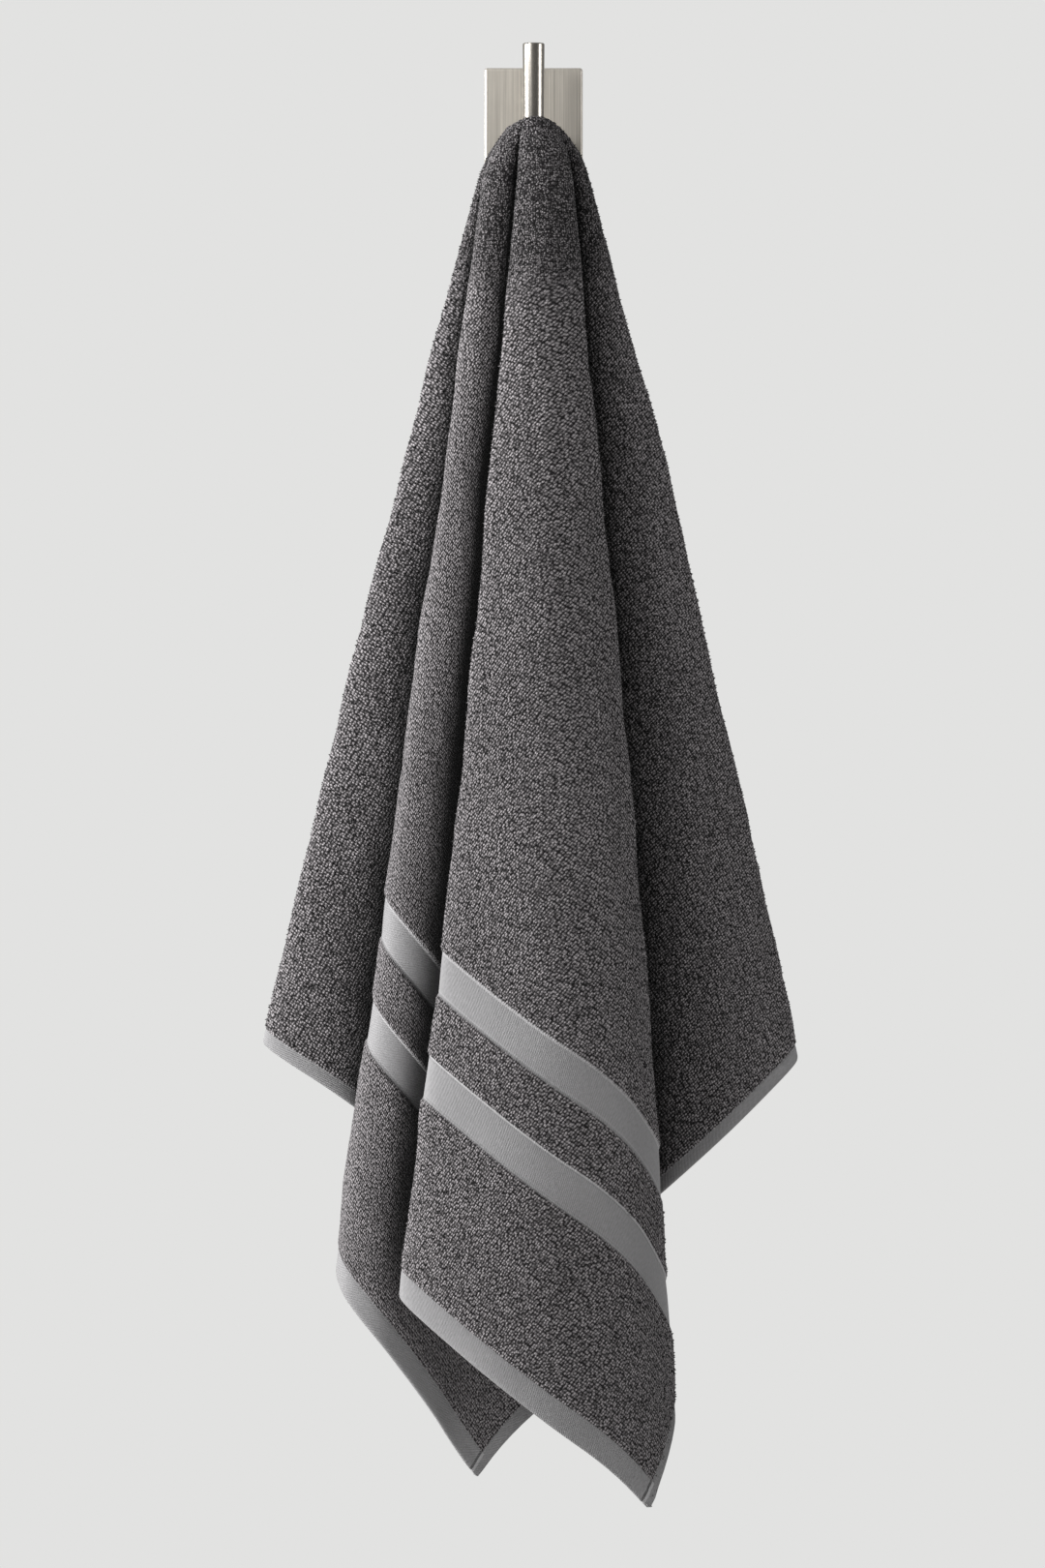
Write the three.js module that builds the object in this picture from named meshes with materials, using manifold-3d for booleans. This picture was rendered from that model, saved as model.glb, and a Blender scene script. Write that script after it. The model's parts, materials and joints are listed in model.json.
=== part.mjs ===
// Bath towel gathered on a square wall hook.
// Millimetres, +Z up. The wall is the plane y = 0 and the room is toward -Y.
// The origin is the centre of the plate's back face.
import * as THREE from 'three';
import { mergeVertices } from 'three/addons/utils/BufferGeometryUtils.js';
import Module from 'manifold-3d';

const wasm = await Module();
wasm.setup();

// Hook
const PLATE_SIDE = 66;
const PLATE_DEPTH = 6;
const PLATE_CORNER = 2;
const PLATE_BEVEL = 0.6;
const POST_AXIS_Y = -42;
const POST_TOP_Z = 46.6;
const POST_TOP_RADIUS = 7.3;
const POST_LOW_RADIUS = 6.7;
const POST_CHAMFER = 0.8;
const STEM_RADIUS = 6.5;
const STEM_AXIS_Z = -22.4;
const PIECE_GAP = 0.3;

// Towel, laid flat: it hangs from a point near the middle of one long side
const TOWEL_LENGTH = 1400;
const TOWEL_WIDTH = 700;
const HANG_INSET = 76;
const TOWEL_THICKNESS = 4;
const APEX = new THREE.Vector3(-4.2, POST_AXIS_Y - 12, 0);
const HANG_Z = -2.4;

// Levels at which the fold table gives the towel's section. The towel's levels are measured from HANG_Z
const NECK_Z = -45;
const LOW_Z = -626;
const RIM_Z = -2.2;

// One row per fold line, along the towel from the free edge at its front to the other free edge.
// angle: direction of the line in the flat towel, seen from the hanging point, in degrees.
// neck and low, its place at two levels: x, depth in front of the post's axis, and the fold's half gap.
// rim, its place on the rim round the post: turn in degrees, radius, how far it rolls in (0 to 1), top level.
// bow moves the line sideways half way down, and hang is the share of the towel's length that it hangs down.
const FOLDS = [
  { name: 'first edge', angle: -6.4, neck: [-2, 11, 0], low: [28, 38, 0], rim: [-106, 12, 0, -30] },
  { name: 'first fold', angle: 3, neck: [1, 13, -0.4], low: [-42, 46, -4.5], rim: [-98, 13, 0, -30] },
  { name: 'first tuck', angle: 14, neck: [6, 16.5, -2.8], low: [56, 56, -5.5], rim: [-73, 17, 0, -26] },
  {
    name: 'centre left', angle: 28.6, neck: [-9, 21.5, -2.8], low: [-71, 68, -8], rim: [-107, 15, 1],
    bow: 4, hang: 0.989,
  },
  {
    name: 'centre crown', angle: 36, neck: [3, 29, 0], low: [-6, 96, 0], rim: [-86, 15, 1],
    bow: 3, hang: 0.99,
  },
  {
    name: 'centre slope', angle: 40.5, neck: [14, 27.5, 0], low: [50, 84, 0], rim: [-65, 15, 1],
    bow: 2, hang: 0.989,
  },
  {
    name: 'centre right', angle: 45, neck: [24, 17.5, 2.8], low: [73, 48, 9], rim: [-42, 15, 1],
    bow: 4, hang: 0.995,
  },
  { name: 'right tuck', angle: 52, neck: [20, 8, 2.8], low: [14, 22, 6], rim: [-28, 15, 1] },
  { name: 'right swell', angle: 62, neck: [31, 5, 0], low: [112, 8, 0], rim: [-12, 15, 1], bow: 3 },
  { name: 'right side', angle: 70, neck: [36, -5, 3.5], low: [175, -19, 8], rim: [8, 15, 1], bow: 5 },
  { name: 'back right', angle: 80, neck: [24, -20, 0], low: [95, -34, 0], rim: [45, 14, 1] },
  { name: 'back middle', angle: 89, neck: [0, -25, 0], low: [5, -30, 0], rim: [90, 13.5, 1] },
  { name: 'back left', angle: 98, neck: [-25, -19, 0], low: [-100, -34, 0], rim: [130, 14, 1] },
  {
    name: 'left side', angle: 106, neck: [-35.5, -5, -3.5], low: [-182, -21, -8], rim: [160, 15, 1],
    bow: -3,
  },
  { name: 'left swell', angle: 111.5, neck: [-30, 1, 0], low: [-122, -5, 0], rim: [178, 17, 0.4, -8] },
  { name: 'left run', angle: 120, neck: [-20, 1, 0], low: [-50, -16, 0], rim: [205, 18, 0, -12] },
  { name: 'left tuck', angle: 130, neck: [-9, 5, -2.8], low: [56, -3, -5], rim: [226, 17.5, 0, -12] },
  {
    name: 'flap slope', angle: 137.5, neck: [-17, 19.5, 0], low: [-31, 18, 0], rim: [231, 15, 1],
    hang: 0.958,
  },
  { name: 'flap crown', angle: 146, neck: [-25, 20.5, 0], low: [-72, 44, 0], rim: [218, 15, 1], hang: 0.995 },
  { name: 'flap round', angle: 150.5, neck: [-31, 17, 0], low: [-103, 43, 0], rim: [205, 15, 1] },
  { name: 'flap side', angle: 153, neck: [-32, 10.5, 2.8], low: [-111.5, 22, 8], rim: [194, 15, 1] },
  { name: 'last tuck', angle: 168, neck: [-26, 9.5, 0.6], low: [-6, 1, 4], rim: [199, 27, 0, -34] },
  { name: 'last edge', angle: 186.4, neck: [-22, 10.5, 0], low: [-96, -3, 0], rim: [204, 25, 0, -34] },
];

// The dome over the rim: how far each level has spread from the rim's line (0) to the neck's section (1)
const DOME = [
  { z: RIM_Z, spread: 0 },
  { z: -4.5, spread: 0.12 },
  { z: -9.5, spread: 0.3 },
  { z: -16, spread: 0.5 },
  { z: -23, spread: 0.68 },
  { z: -30, spread: 0.8 },
  { z: -37, spread: 0.9 },
];

// The lip rolled in round the post: radius from the post's axis and level
const LIP = [
  { radius: 11.9, z: -14 },
  { radius: 11.9, z: -6.5 },
];
const HIDDEN_ROW_STEP = 1;

// The rim's centre lies a little right of the post, and the rim sags at the post's two sides.
// A fold's two control points lie a step to either side of it.
const RIM_SHIFT = 0.8;
const RIM_SAG = 7;
const RIM_STEP = 3;
const FOLD_HALF_ANGLE = 0.5;

// Grid of the towel's faces
const COLUMNS_PER_ARC = 3;
const SKIRT_ROWS = 15;
const ROUND_SEGMENTS = 48;
const MERGE_DISTANCE = 1e-4;

// Opening in the back of the gathered top through which the stem passes
const STEM_REST_GAP = 0.4;
const STEM_SIDE_GAP = 2;
const STEM_TAIL_Z = -44.4;

const steel = (name) => new THREE.MeshStandardMaterial({
  name, color: 0x9c958c, roughness: 0.35, metalness: 1,
});
const terry = () => new THREE.MeshStandardMaterial({
  name: 'terry', color: 0x5a5657, roughness: 1, metalness: 0,
});

function solidOf(geometry) {
  const bare = geometry.index ? geometry.clone() : geometry;
  bare.deleteAttribute('normal');
  bare.deleteAttribute('uv');
  const merged = mergeVertices(bare, MERGE_DISTANCE);
  return new wasm.Manifold(new wasm.Mesh({
    numProp: 3,
    vertProperties: new Float32Array(merged.attributes.position.array),
    triVerts: new Uint32Array(merged.index.array),
  }));
}

function geometryOf(solid) {
  const mesh = solid.getMesh();
  const geometry = new THREE.BufferGeometry();
  geometry.setAttribute('position', new THREE.BufferAttribute(mesh.vertProperties, 3));
  geometry.setIndex(new THREE.BufferAttribute(mesh.triVerts, 1));
  return geometry;
}

function meshOf(name, geometry, material) {
  const mesh = new THREE.Mesh(geometry, material);
  mesh.name = name;
  return mesh;
}

// Point of a chain of smooth arcs, one round each control point, that touch the middles of the chain's sides
function arcPoint(points, position) {
  const last = points.length - 1;
  const arc = Math.min(Math.floor(position), last - 2);
  const t = position - arc;
  const [a, b, c] = [points[arc], points[arc + 1], points[arc + 2]];
  const start = arc === 0 ? a : a.clone().lerp(b, 0.5);
  const end = arc === last - 2 ? c : b.clone().lerp(c, 0.5);
  return start.clone().multiplyScalar((1 - t) ** 2)
    .addScaledVector(b, 2 * t * (1 - t))
    .addScaledVector(end, t * t);
}

// A fold line with a gap has two control points, one before and one after its turn
const CONTROLS = FOLDS.flatMap((fold) => (fold.low[2] === 0 ? [0] : [-1, 1]).map((side) => ({ fold, side })));

const chainOf = (place) => CONTROLS.map(({ fold, side }) => place(fold, side));

function levelChain(level, z) {
  return chainOf((fold, side) => {
    const [x, depth, gap] = fold[level];
    return new THREE.Vector3(x, POST_AXIS_Y - depth + side * gap, z);
  });
}

// Each control's angle in the flat towel, its sideways bow and its hang
const flatChain = chainOf(({ angle, bow = 0, hang = 1 }, side) => (
  new THREE.Vector3(angle + side * FOLD_HALF_ANGLE, bow, hang)
));

function rimPoint(degrees, radius, z) {
  const turn = THREE.MathUtils.degToRad(degrees);
  return new THREE.Vector3(RIM_SHIFT + radius * Math.cos(turn), POST_AXIS_Y + radius * Math.sin(turn), z);
}

// Top level of a fold line on the rim: its own where the table gives one, or else the rim's
const rimTop = (turn, top) => top ?? RIM_Z - RIM_SAG * Math.cos(THREE.MathUtils.degToRad(turn)) ** 2;

// Levels above the neck: the rolled lip first, then the dome.
// Hidden lines have no lip and end lower, at their top.
function lipChain({ radius, z }, row) {
  return chainOf(({ rim: [turn, rimRadius, lip, top] }, side) => {
    const { lerp } = THREE.MathUtils;
    const level = rimTop(turn, top);
    const hidden = level + (LIP.length - row) * HIDDEN_ROW_STEP;
    const lipLevel = top === undefined ? z + level - RIM_Z : z;
    return rimPoint(turn + side * RIM_STEP, lerp(rimRadius, radius, lip), lerp(hidden, lipLevel, lip));
  });
}

function domeChain({ z, spread }) {
  const share = (z - NECK_Z) / (RIM_Z - NECK_Z);
  const neck = levelChain('neck', NECK_Z);
  return CONTROLS.map(({ fold: { rim: [turn, radius, , top] }, side }, k) => {
    const point = rimPoint(turn + side * RIM_STEP, radius, 0).lerp(neck[k], spread);
    point.z = THREE.MathUtils.lerp(NECK_Z, rimTop(turn, top), share);
    return point;
  });
}

// Distance from the hanging point to the towel's end or far side, along a line at this angle
function reach(angle) {
  const toEnd = TOWEL_LENGTH / 2 / Math.abs(Math.cos(angle));
  const toSide = (TOWEL_WIDTH - HANG_INSET) / Math.abs(Math.sin(angle));
  return Math.min(toEnd, toSide);
}

// Middle surface of the towel as rows of points, from the lip down to the hems
function towelRows() {
  const columns = (CONTROLS.length - 2) * COLUMNS_PER_ARC;
  const positions = Array.from({ length: columns + 1 }, (_, i) => i / COLUMNS_PER_ARC);
  const upper = [...LIP.map(lipChain), ...DOME.map(domeChain)];
  const rows = upper.map((chain) => positions.map((q) => arcPoint(chain, q)));
  const neckChain = levelChain('neck', NECK_Z);
  const lowChain = levelChain('low', LOW_Z);
  for (let row = 0; row <= SKIRT_ROWS; row += 1) {
    rows.push(positions.map((q) => {
      const neck = arcPoint(neckChain, q);
      const along = arcPoint(lowChain, q).sub(neck);
      const flat = arcPoint(flatChain, q);
      const run = reach(THREE.MathUtils.degToRad(flat.x)) * flat.z - neck.distanceTo(APEX);
      const share = row / SKIRT_ROWS;
      neck.addScaledVector(along.normalize(), run * share);
      neck.x += flat.y * 4 * share * (1 - share);
      return neck;
    }));
  }
  return rows;
}

// Closed sheet of even thickness about rows of points
function thicken(rows, thickness) {
  const count = rows[0].length;
  const at = (r, c) => rows[Math.min(Math.max(r, 0), rows.length - 1)][Math.min(Math.max(c, 0), count - 1)];
  const positions = [];
  for (const side of [1, -1]) {
    for (let r = 0; r < rows.length; r += 1) {
      for (let c = 0; c < count; c += 1) {
        const across = at(r, c + 1).clone().sub(at(r, c - 1));
        const down = at(r + 1, c).clone().sub(at(r - 1, c));
        const normal = across.cross(down).normalize();
        positions.push(...at(r, c).clone().addScaledVector(normal, side * thickness / 2));
      }
    }
  }
  const faces = [];
  const back = rows.length * count;
  const quad = (a, b, c, d) => faces.push(a, b, c, a, c, d);
  for (let r = 0; r + 1 < rows.length; r += 1) {
    for (let c = 0; c + 1 < count; c += 1) {
      const i = r * count + c;
      quad(i, i + 1, i + 1 + count, i + count);
      quad(back + i, back + i + count, back + i + 1 + count, back + i + 1);
    }
  }
  const rim = [];
  for (let c = 0; c + 1 < count; c += 1) rim.push(c);
  for (let r = 0; r + 1 < rows.length; r += 1) rim.push(r * count + count - 1);
  for (let c = count - 1; c > 0; c -= 1) rim.push((rows.length - 1) * count + c);
  for (let r = rows.length - 1; r > 0; r -= 1) rim.push(r * count);
  rim.forEach((i, k) => {
    const next = rim[(k + 1) % rim.length];
    quad(next, i, back + i, back + next);
  });
  const geometry = new THREE.BufferGeometry();
  geometry.setAttribute('position', new THREE.Float32BufferAttribute(positions, 3));
  geometry.setIndex(faces);
  return geometry;
}

// Drop-shaped bar along Y that clears the stem: it rests close over the stem and runs to a point below it
function stemOpening() {
  const radius = STEM_RADIUS + STEM_SIDE_GAP;
  const drop = new THREE.Shape();
  const centreZ = STEM_AXIS_Z + STEM_RADIUS + STEM_REST_GAP - radius;
  drop.moveTo(radius, centreZ);
  drop.absarc(0, centreZ, radius, 0, Math.PI, false);
  drop.lineTo(0, STEM_TAIL_Z);
  drop.closePath();
  const bar = new THREE.ExtrudeGeometry(drop, {
    depth: -POST_AXIS_Y,
    bevelEnabled: false,
    curveSegments: 10,
  });
  bar.rotateX(Math.PI / 2);
  return bar;
}

function towel() {
  const sheet = thicken(towelRows(), TOWEL_THICKNESS).translate(0, 0, HANG_Z);
  return meshOf('towel', geometryOf(solidOf(sheet).subtract(solidOf(stemOpening()))), terry());
}

function roundedSquare(side, corner) {
  const half = side / 2;
  const shape = new THREE.Shape();
  shape.moveTo(half, -half + corner);
  shape.absarc(half - corner, half - corner, corner, 0, Math.PI / 2, false);
  shape.absarc(-half + corner, half - corner, corner, Math.PI / 2, Math.PI, false);
  shape.absarc(-half + corner, -half + corner, corner, Math.PI, 1.5 * Math.PI, false);
  shape.absarc(half - corner, -half + corner, corner, 1.5 * Math.PI, 2 * Math.PI, false);
  return shape;
}

function hookPlate() {
  const inner = PLATE_SIDE - 2 * PLATE_BEVEL;
  const geometry = new THREE.ExtrudeGeometry(roundedSquare(inner, PLATE_CORNER - PLATE_BEVEL), {
    depth: PLATE_DEPTH - 2 * PLATE_BEVEL,
    bevelThickness: PLATE_BEVEL,
    bevelSize: PLATE_BEVEL,
    bevelSegments: 2,
    curveSegments: 5,
  });
  geometry.translate(0, 0, PLATE_BEVEL);
  geometry.rotateX(Math.PI / 2);
  return meshOf('hook_plate', geometry, steel('brushed steel plate'));
}

function hookPost() {
  const low = STEM_AXIS_Z - POST_LOW_RADIUS;
  const profile = [
    [0, low],
    [POST_LOW_RADIUS - POST_CHAMFER, low],
    [POST_LOW_RADIUS, low + POST_CHAMFER],
    [POST_TOP_RADIUS, POST_TOP_Z - POST_CHAMFER],
    [POST_TOP_RADIUS - POST_CHAMFER, POST_TOP_Z],
    [0, POST_TOP_Z],
  ].map(([radius, z]) => new THREE.Vector2(radius, z));
  const geometry = new THREE.LatheGeometry(profile, ROUND_SEGMENTS);
  geometry.rotateX(Math.PI / 2);
  geometry.translate(0, POST_AXIS_Y, 0);
  return meshOf('hook_post', geometry, steel('brushed steel post'));
}

function hookStem() {
  const start = -PLATE_DEPTH - PIECE_GAP;
  const length = start - POST_AXIS_Y;
  const bar = new THREE.CylinderGeometry(STEM_RADIUS, STEM_RADIUS, length, ROUND_SEGMENTS);
  bar.translate(0, start - length / 2, STEM_AXIS_Z);
  const round = new THREE.CylinderGeometry(POST_TOP_RADIUS, POST_TOP_RADIUS, PLATE_SIDE, ROUND_SEGMENTS);
  round.rotateX(Math.PI / 2);
  round.translate(0, POST_AXIS_Y, STEM_AXIS_Z);
  const stem = solidOf(bar).subtract(solidOf(round));
  return meshOf('hook_stem', geometryOf(stem), steel('brushed steel stem'));
}

const object = new THREE.Group();
object.add(hookPlate(), hookStem(), hookPost(), towel());

export default object;
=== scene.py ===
import json
import math

import bmesh
import bpy
import numpy as np
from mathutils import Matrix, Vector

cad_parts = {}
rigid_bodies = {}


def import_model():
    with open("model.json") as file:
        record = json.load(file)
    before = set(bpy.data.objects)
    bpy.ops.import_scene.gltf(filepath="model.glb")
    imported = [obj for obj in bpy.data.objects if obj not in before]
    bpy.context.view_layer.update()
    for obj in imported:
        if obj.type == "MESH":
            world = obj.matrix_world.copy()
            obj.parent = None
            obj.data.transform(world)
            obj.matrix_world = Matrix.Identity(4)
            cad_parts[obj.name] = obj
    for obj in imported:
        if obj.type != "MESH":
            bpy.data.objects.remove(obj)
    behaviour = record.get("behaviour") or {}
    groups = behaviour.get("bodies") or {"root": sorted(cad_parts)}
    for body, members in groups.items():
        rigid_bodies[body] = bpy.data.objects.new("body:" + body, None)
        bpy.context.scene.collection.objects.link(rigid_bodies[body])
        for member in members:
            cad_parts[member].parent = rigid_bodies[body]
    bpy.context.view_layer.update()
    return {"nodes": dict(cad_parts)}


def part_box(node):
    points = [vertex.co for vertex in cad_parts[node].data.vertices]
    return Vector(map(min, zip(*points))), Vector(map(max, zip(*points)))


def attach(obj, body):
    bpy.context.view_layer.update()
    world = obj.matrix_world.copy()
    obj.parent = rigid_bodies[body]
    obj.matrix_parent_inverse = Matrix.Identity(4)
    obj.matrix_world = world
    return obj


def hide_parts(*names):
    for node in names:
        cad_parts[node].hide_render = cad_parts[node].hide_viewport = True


bl_info = {
    "name": "Bath Towel on a Wall Hook",
    "version": (1, 0, 0),
    "blender": (4, 5, 0),
    "location": "View3D > Sidebar > Towel",
    "description": "Terry bath towel gathered on a brushed steel wall hook",
    "category": "Object",
}

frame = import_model()

MM = 0.001


def linear(code):
    """Turns an sRGB hex colour into linear red, green and blue."""
    channels = [int(code[i : i + 2], 16) / 255 for i in (1, 3, 5)]
    return tuple(c / 12.92 if c <= 0.04045 else ((c + 0.055) / 1.055) ** 2.4 for c in channels)


class TowelSizes(bpy.types.PropertyGroup):
    """Sizes and colours of the towel"""

    length: bpy.props.FloatProperty(
        name="Length", description="Length of the towel laid flat, hem to hem", default=1.4, unit="LENGTH"
    )
    width: bpy.props.FloatProperty(
        name="Width", description="Width of the towel laid flat", default=0.7, unit="LENGTH"
    )
    hang_inset: bpy.props.FloatProperty(
        name="Hang inset",
        description="From the hanging point to the long side above it",
        default=0.076, unit="LENGTH",
    )
    end_hem: bpy.props.FloatProperty(
        name="End hem", description="Width of the woven hem at each end", default=0.0165, unit="LENGTH"
    )
    side_hem: bpy.props.FloatProperty(
        name="Side hem",
        description="Width of the narrow hem along each long side",
        default=0.0095, unit="LENGTH",
    )
    loop_spacing: bpy.props.FloatProperty(
        name="Loop spacing", description="Distance between rows of terry loops", default=0.0018, unit="LENGTH"
    )
    wave: bpy.props.FloatProperty(
        name="Soft wave",
        description="Height of the soft unevenness of the hanging cloth",
        default=0.001, unit="LENGTH",
    )
    terry_colour: bpy.props.FloatVectorProperty(
        name="Terry colour",
        description="Dyed cotton loops, lit face",
        subtype="COLOR", default=linear("#a8a3a5"),
    )
    # Painted shade: this dark colour is painted between the loops in place of the shadow inside the pile
    painted_pit_shade: bpy.props.FloatVectorProperty(
        name="Pit colour",
        description="Ground weave between the loops",
        subtype="COLOR", default=linear("#161415"),
    )
    woven_colour: bpy.props.FloatVectorProperty(
        name="Woven colour",
        description="Flat woven bands and hems",
        subtype="COLOR", default=linear("#898889"),
    )


class HookSizes(bpy.types.PropertyGroup):
    """Sizes and colour of the hook"""

    plate_side: bpy.props.FloatProperty(
        name="Plate side", description="Side of the square wall plate", default=0.066, unit="LENGTH"
    )
    plate_depth: bpy.props.FloatProperty(
        name="Plate depth", description="Thickness of the wall plate", default=0.006, unit="LENGTH"
    )
    plate_corner: bpy.props.FloatProperty(
        name="Plate corner", description="Radius of the plate's corners", default=0.002, unit="LENGTH"
    )
    post_top_radius: bpy.props.FloatProperty(
        name="Post top radius",
        description="Radius of the upright post at its top",
        default=0.0073, unit="LENGTH",
    )
    post_low_radius: bpy.props.FloatProperty(
        name="Post low radius",
        description="Radius of the upright post at its foot",
        default=0.0067, unit="LENGTH",
    )
    steel_colour: bpy.props.FloatVectorProperty(
        name="Steel colour",
        description="Warm brushed stainless steel",
        subtype="COLOR", default=linear("#c2bcb2"),
    )
    post_colour: bpy.props.FloatVectorProperty(
        name="Post colour",
        description="Turned steel of the post and stem",
        subtype="COLOR", default=linear("#a8a39b"),
    )


class StudioSizes(bpy.types.PropertyGroup):
    """Floor, light and camera"""

    floor_drop: bpy.props.FloatProperty(
        name="Floor drop", description="Height of the floor below the origin", default=1.35, unit="LENGTH"
    )
    camera_distance: bpy.props.FloatProperty(
        name="Camera distance", description="From the camera to the post", default=6.0, unit="LENGTH"
    )
    backdrop_colour: bpy.props.FloatVectorProperty(
        name="Backdrop colour", description="Pale studio surround", subtype="COLOR", default=linear("#e2e2e1")
    )
    floor_colour: bpy.props.FloatVectorProperty(
        name="Floor colour", description="Pale painted board", subtype="COLOR", default=linear("#c4c4c3")
    )


# Towel: the fold table in millimetres, with the same lines as the solid towel's
APEX = np.array([-4.2, -54.0, 0.0])
AXIS_Y = -42.0
NECK_Z = -45.0
LOW_Z = -626.0
RIM_Z = -2.2
RIM_SHIFT = 0.8
RIM_STEP = 3.0
FOLD_HALF_ANGLE = 0.5
HIDDEN_ROW_STEP = 1.0

# angle: direction in the flat towel, in degrees from its length
# neck and low: x, depth before the post's axis, half gap
# rim: turn in degrees, radius, share of the lip, top level
# bow: how far the line bends sideways. hang: share of the length that hangs down
FOLD_COLUMNS = ("angle", "neck", "low", "rim", "bow", "hang")
FOLDS = (
    (-6.4, (-2, 11, 0), (28, 38, 0), (-106, 12, 0, -30), 0, 1),
    (3, (1, 13, -0.4), (-42, 46, -4.5), (-98, 13, 0, -30), 0, 1),
    (14, (6, 16.5, -2.8), (56, 56, -5.5), (-73, 17, 0, -26), 0, 1),
    (28.6, (-9, 21.5, -2.8), (-71, 68, -8), (-113, 15, 1, RIM_Z), 4, 0.993),
    (36, (3, 29, 0), (-6, 96, 0), (-86, 15, 1, RIM_Z), 3, 0.995),
    (40.5, (14, 27.5, 0), (50, 84, 0), (-65, 15, 1, RIM_Z), 2, 0.996),
    (45, (24, 17.5, 2.8), (73, 48, 9), (-42, 15, 1, RIM_Z), 4, 0.995),
    (52, (20, 8, 2.8), (14, 22, 6), (-28, 15, 1, RIM_Z), 0, 1),
    (62, (31, 5, 0), (112, 8, 0), (-12, 15, 1, RIM_Z), 3, 1),
    (70, (36, -5, 3.5), (175, -19, 8), (8, 15, 1, RIM_Z), 5, 1),
    (80, (24, -20, 0), (95, -34, 0), (45, 14, 1, RIM_Z), 0, 1),
    (89, (0, -25, 0), (5, -30, 0), (90, 13.5, 1, RIM_Z), 0, 1),
    (98, (-25, -19, 0), (-100, -34, 0), (130, 14, 1, RIM_Z), 0, 1),
    (106, (-35.5, -5, -3.5), (-182, -21, -8), (160, 15, 1, RIM_Z), -3, 1),
    (111.5, (-30, 1, 0), (-122, -5, 0), (178, 17, 0.4, -8), 0, 1),
    (120, (-20, 1, 0), (-50, -16, 0), (205, 18, 0, -12), 0, 1),
    (130, (-9, 5, -2.8), (56, -3, -5), (226, 17.5, 0, -12), 0, 1),
    (137.5, (-13.5, 19.5, 0), (-31, 18, 0), (244, 14.8, 1, RIM_Z), 0, 0.961),
    (146, (-25, 20.5, 0), (-72, 44, 0), (218, 15, 1, RIM_Z), 0, 0.995),
    (150.5, (-31, 17, 0), (-103, 43, 0), (205, 15, 1, RIM_Z), 0, 1),
    (153, (-32, 10.5, 2.8), (-111.5, 22, 8), (194, 15, 1, RIM_Z), 0, 1),
    (168, (-26, 9.5, 0.6), (-6, 1, 4), (199, 27, 0, -34), 0, 1),
    (186.4, (-22, 10.5, 0), (-96, -3, 0), (204, 25, 0, -34), 0, 1),
)

# The dome round the post: level, and how far it has spread from the rim to the neck's section
DOME = ((RIM_Z, 0), (-4.5, 0.12), (-9.5, 0.3), (-16, 0.5), (-23, 0.68), (-30, 0.8), (-37, 0.9))
# The rim sags this far at the post's two sides
RIM_SAG = 7.0
# The levels above are measured from the hanging point, which lies this far from the plate's centre
HANG_Z = -2.4
# The lip rolled in round the post: radius, level
LIP = ((11.9, -14), (11.9, -6.5))

# Woven bands at the front end: distance of their lower and upper edge from the towel's end, in millimetres
BANDS = ((117, 143), (178, 204))
# The bands of the other end lie this much further from it. The rows of its half move by as much:
# the shift sets in above the hem, fades above the bands, and comes in over the angles between the halves
FAR_BAND_SHIFT = 23.0
SHIFT_GROWS = (25, 105)
SHIFT_FADES = (230, 420)
SHIFT_ANGLES = (98, 116)
# Half of the cloth's thickness by its distance from the towel's end, in millimetres
END_THICKNESS = ((0, 0.7), (1, 1.3), (2.5, 1.6), (15.5, 1.6), (17, 1.0), (18.5, 2.2), (24, 2.4))
BAND_THICKNESS = (
    (102, 2.3), (112, 2.9), (115.5, 2.7), (117.3, 0.8), (142.7, 0.8), (144.5, 2.7), (150, 3.1), (171, 3.1),
    (176.5, 2.7), (178.3, 0.8), (203.7, 0.8), (205.5, 2.6), (211, 2.8), (224, 2.3),
)
# The same by the distance from the long side
SIDE_THICKNESS = ((0, 0.7), (1, 1.2), (2.5, 1.4), (8.5, 1.4), (9.5, 1.0), (11, 2.2))

# The sewn corners are blunt: how much the tip is cut, and over what angle seen from the hanging point
CORNER_CUT = 2.0
CORNER_SPREAD = 0.3
# Extra half thickness where the end hem and the side hem lie on each other
CORNER_LAYER = 0.8

# Angles of the flat towel that show from the front, whose columns stand closer together
SHOWN_ANGLES = ((26, 48), (60, 72), (103, 113), (131, 156))
SHOWN_STEP = 4.6
HIDDEN_STEP = 15.0
TOP_ROWS_PER_LEVEL = 3
PLAIN_ROW_STEP = 8.5
BAND_ROW_STEP = 5.0
FINE_ROWS_BELOW = 215.0
# The last row of the skirt lies this far from the hanging point, measured along the towel's length
LAST_ROW_RADIUS = 60.0
# Rows crowd together beyond a corner, to this share of their spacing, and spread out again over these degrees
CROWDED_SHARE = 0.12
CROWDED_DEGREES = 20.0

# Soft unevenness: lengths of its waves in metres, and the distances from the hanging point between which
# it sets in
WAVE_LENGTHS = (0.23, 0.17, 0.12, 0.085, 0.06, 0.045)
WAVE_STARTS = (60, 160)
# Where half of the cloth is thicker than this it is pile, and its surface is uneven by the second value
PILE_HALF = 2.0
PILE_UNEVENNESS = 0.3

# Tufts of pile on the faces that show, in millimetres
TUFTED_ANGLES = ((25, 49), (57, 113), (131, 156))
TUFT_SPACING = 2.9
TUFT_RADIUS = 1.0
TUFT_HEIGHT = 1.3
TUFT_ROOT = 0.5
# Tufts keep this far from the opening for the stem
TUFT_CLEARANCE = 6.0

# Drop-shaped opening through which the stem passes
OPENING_RADIUS = 8.5
OPENING_Z = -24.0
OPENING_TAIL = 20.4


def fold_controls():
    """Each fold with a gap has one control on either side of its turn."""
    rows = []
    for fold in FOLDS:
        named = dict(zip(FOLD_COLUMNS, fold))
        sides = (0,) if named["low"][2] == 0 else (-1, 1)
        rows += [(named, side) for side in sides]
    return rows


CONTROLS = fold_controls()


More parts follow.
